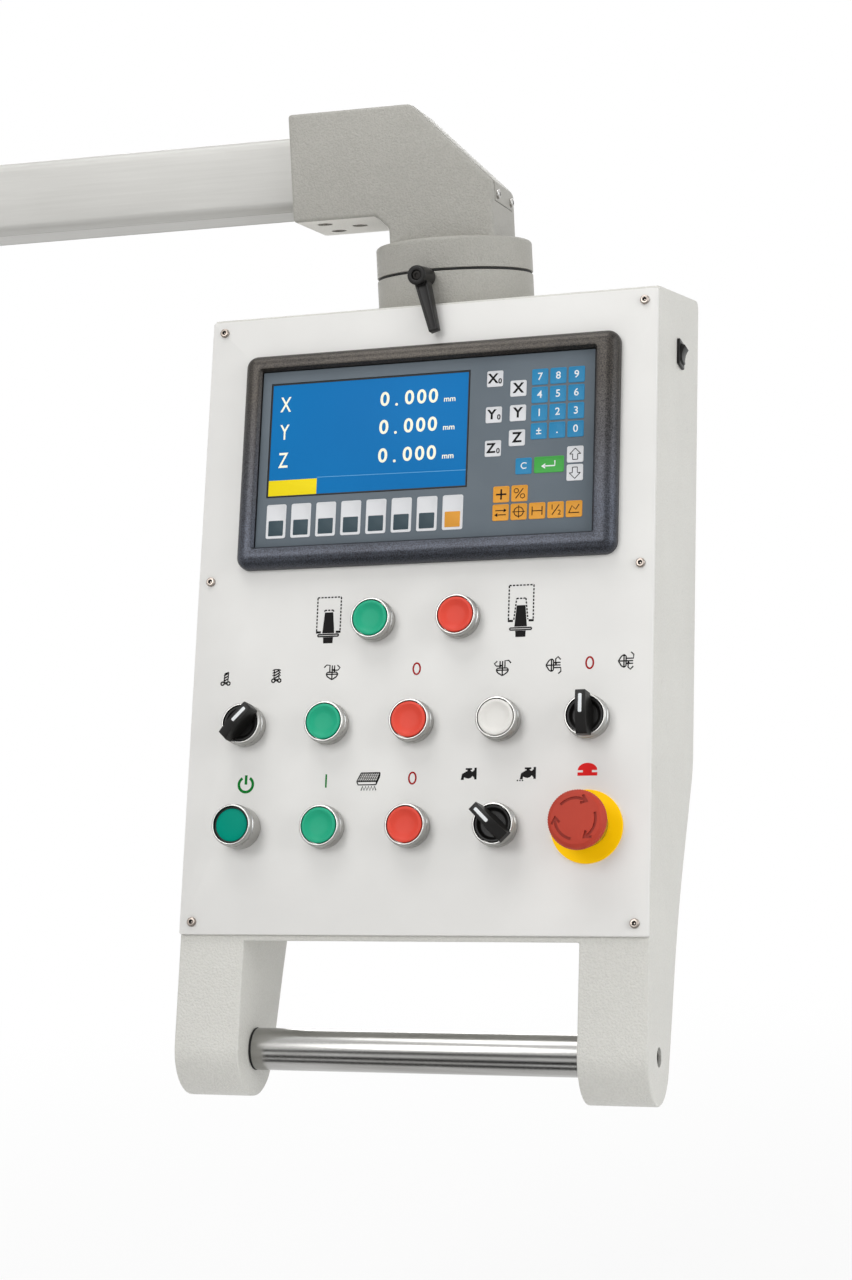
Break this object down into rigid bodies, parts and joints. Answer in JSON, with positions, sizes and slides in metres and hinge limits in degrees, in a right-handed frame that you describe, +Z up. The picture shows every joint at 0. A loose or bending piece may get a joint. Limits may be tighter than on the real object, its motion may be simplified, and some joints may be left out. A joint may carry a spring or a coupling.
{
  "type": "machine tool control pendant",
  "caption": "Swing-arm operator pendant: hollow arm, elbow swivel with clamping lever, tilted box with digital readout, pushbuttons, selectors, emergency stop and a handle bar.",
  "frame": {"origin": "middle of the arm's sawn end face, on its central web", "axes": "+X along the arm towards the swivel, panel faces -Y, +Z up"},
  "size_m": [0.6118, 0.2913, 0.6742],
  "materials": {
    "arm_aluminium": "silver anodised extrusion, satin",
    "casting_paint": "grey orange-peel paint",
    "housing_paint": "light grey orange-peel paint",
    "panel_white": "off-white satin",
    "steel": "plain machined steel",
    "chrome": "bright chrome",
    "rubber_black": "matt black",
    "plastic_black": "satin black",
    "readout_frame": "dark grainy metallic",
    "readout_sheet": "printed membrane sheet",
    "screen_blue": "lit display",
    "cap_green": "satin green",
    "cap_red": "satin red",
    "cap_white": "satin white",
    "lens_teal": "teal lens",
    "stop_red": "satin red",
    "stop_yellow": "satin yellow"
  },
  "bodies": {
    "arm": {"arm_profile": "arm_aluminium", "elbow_casting": "casting_paint", "elbow_cover": "casting_paint", "swivel_spigot": "steel", "swivel_nut": "steel", "swivel_seal": "rubber_black"},
    "pendant": {"bezel_row1_green": "chrome", "bezel_row1_red": "chrome", "bezel_row2_green": "chrome", "bezel_row2_red": "chrome", "bezel_row2_white": "chrome", "bezel_row3_green": "chrome", "bezel_row3_lamp": "chrome", "bezel_row3_red": "chrome", "bezel_selector_left": "chrome", "bezel_selector_lower": "chrome", "bezel_selector_right": "chrome", "block_row1_green": "plastic_black", "block_row1_red": "plastic_black", "block_row2_green": "plastic_black", "block_row2_red": "plastic_black", "block_row2_white": "plastic_black", "block_row3_green": "plastic_black", "block_row3_lamp": "plastic_black", "block_row3_red": "plastic_black", "block_selector_left": "plastic_black", "block_selector_lower": "plastic_black", "block_selector_right": "plastic_black", "front_panel": "panel_white", "handle_bar": "chrome", "handle_bolt_left": "steel", "handle_bolt_right": "steel", "housing": "housing_paint", "readout_case": "plastic_black", "readout_frame": "readout_frame", "readout_keypad": "readout_sheet", "readout_screen": "screen_blue", "rocker_frame": "plastic_black", "stop_block": "plastic_black", "stop_collar": "chrome", "stop_plate": "stop_yellow", "swivel_collar": "casting_paint"},
    "clamp_stud": {"clamp_stud": "steel"},
    "clamp_lever": {"clamp_lever": "plastic_black"},
    "stop_stem": {"stop_stem": "steel"},
    "stop_head": {"stop_head": "stop_red"},
    "rocker_paddle": {"rocker_paddle": "plastic_black"},
    "cap_row1_green": {"cap_row1_green": "cap_green"},
    "cap_row1_red": {"cap_row1_red": "cap_red"},
    "cap_row2_green": {"cap_row2_green": "cap_green"},
    "cap_row2_red": {"cap_row2_red": "cap_red"},
    "cap_row2_white": {"cap_row2_white": "cap_white"},
    "cap_row3_lamp": {"cap_row3_lamp": "lens_teal"},
    "cap_row3_green": {"cap_row3_green": "cap_green"},
    "cap_row3_red": {"cap_row3_red": "cap_red"},
    "knob_selector_left": {"knob_selector_left": "plastic_black"},
    "knob_selector_right": {"knob_selector_right": "plastic_black"},
    "knob_selector_lower": {"knob_selector_lower": "plastic_black"}
  },
  "joints": [
    {"name": "pendant_swivel", "type": "hinge", "parent": "arm", "child": "pendant", "pos_m": [0.445, 0, -0.0784], "axis": [0, 0, 1], "range_deg": [-150, 150]},
    {"name": "press_row1_green", "type": "slide", "parent": "pendant", "child": "cap_row1_green", "axis": [0.0807, 0.9607, -0.2656], "range_m": [0, 0.004], "stiffness_N_per_m": 900},
    {"name": "press_row1_red", "type": "slide", "parent": "pendant", "child": "cap_row1_red", "axis": [0.0807, 0.9607, -0.2656], "range_m": [0, 0.004], "stiffness_N_per_m": 900},
    {"name": "press_row2_green", "type": "slide", "parent": "pendant", "child": "cap_row2_green", "axis": [0.0807, 0.9607, -0.2656], "range_m": [0, 0.004], "stiffness_N_per_m": 900},
    {"name": "press_row2_red", "type": "slide", "parent": "pendant", "child": "cap_row2_red", "axis": [0.0807, 0.9607, -0.2656], "range_m": [0, 0.004], "stiffness_N_per_m": 900},
    {"name": "press_row2_white", "type": "slide", "parent": "pendant", "child": "cap_row2_white", "axis": [0.0807, 0.9607, -0.2656], "range_m": [0, 0.004], "stiffness_N_per_m": 900},
    {"name": "press_row3_lamp", "type": "slide", "parent": "pendant", "child": "cap_row3_lamp", "axis": [0.0807, 0.9607, -0.2656], "range_m": [0, 0.004], "stiffness_N_per_m": 900},
    {"name": "press_row3_green", "type": "slide", "parent": "pendant", "child": "cap_row3_green", "axis": [0.0807, 0.9607, -0.2656], "range_m": [0, 0.004], "stiffness_N_per_m": 900},
    {"name": "press_row3_red", "type": "slide", "parent": "pendant", "child": "cap_row3_red", "axis": [0.0807, 0.9607, -0.2656], "range_m": [0, 0.004], "stiffness_N_per_m": 900},
    {"name": "turn_selector_left", "type": "hinge", "parent": "pendant", "child": "knob_selector_left", "pos_m": [0.31352, -0.13167, -0.38663], "axis": [-0.0807, -0.9607, 0.2656], "range_deg": [0, 90]},
    {"name": "turn_selector_right", "type": "hinge", "parent": "pendant", "child": "knob_selector_right", "pos_m": [0.55268, -0.15175, -0.38663], "axis": [-0.0807, -0.9607, 0.2656], "range_deg": [-45, 45]},
    {"name": "turn_selector_lower", "type": "hinge", "parent": "pendant", "child": "knob_selector_lower", "pos_m": [0.49134, -0.16525, -0.45411], "axis": [-0.0807, -0.9607, 0.2656], "range_deg": [-90, 0]},
    {"name": "stop_press", "type": "slide", "parent": "pendant", "child": "stop_stem", "axis": [0.0807, 0.9607, -0.2656], "range_m": [0, 0.005], "stiffness_N_per_m": 1500},
    {"name": "stop_release", "type": "hinge", "parent": "stop_stem", "child": "stop_head", "pos_m": [0.55112, -0.17027, -0.45411], "axis": [0.0807, 0.9607, -0.2656], "range_deg": [0, 45], "stiffness_Nm_per_rad": 0.1},
    {"name": "rocker_flip", "type": "hinge", "parent": "pendant", "child": "rocker_paddle", "pos_m": [0.60556, -0.02035, -0.14562], "axis": [-0.0807, -0.9607, 0.2656], "range_deg": [0, 24]},
    {"name": "clamp_turn", "type": "hinge", "parent": "pendant", "child": "clamp_stud", "pos_m": [0.445, 0, -0.0839], "axis": [-0.1392, -0.9903, 0], "range_deg": [-70, 70]},
    {"name": "lever_lift", "type": "slide", "parent": "clamp_stud", "child": "clamp_lever", "axis": [-0.1392, -0.9903, 0], "range_m": [0, 0.004], "stiffness_N_per_m": 400}
  ]
}
